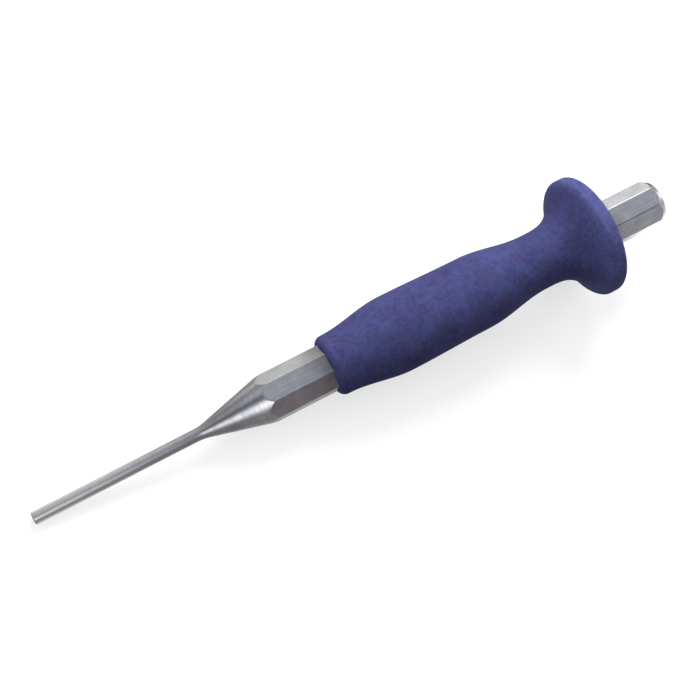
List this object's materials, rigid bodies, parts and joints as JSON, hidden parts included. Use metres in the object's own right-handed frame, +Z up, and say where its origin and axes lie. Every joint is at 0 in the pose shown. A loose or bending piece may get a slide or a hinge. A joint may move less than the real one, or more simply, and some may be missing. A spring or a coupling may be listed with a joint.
{
  "type": "pin punch",
  "caption": "Hand punch: a slender round pin and turned cone on an octagonal steel bar, held in a soft contoured sleeve that flares into a round hand guard.",
  "frame": {"origin": "centre of the footprint of the bounding box, on the surface that the tool lies on", "axes": "+X from the pin's tip to the struck end as seen from above, +Z up. The tool's own axis rises 5.44 degrees towards the struck end, because the tip and the guard's rim both touch the surface. A flat of the octagonal bar faces up."},
  "size_m": [0.1498, 0.0278, 0.0276],
  "materials": {
    "punch_steel": "satin plated tool steel, drawn flats, fine turning marks on cone and chamfer",
    "grip_soft": "matte soft plastic, dark blue, faintly mottled"
  },
  "bodies": {
    "root": {"punch": "punch_steel", "grip": "grip_soft"}
  },
  "joints": []
}
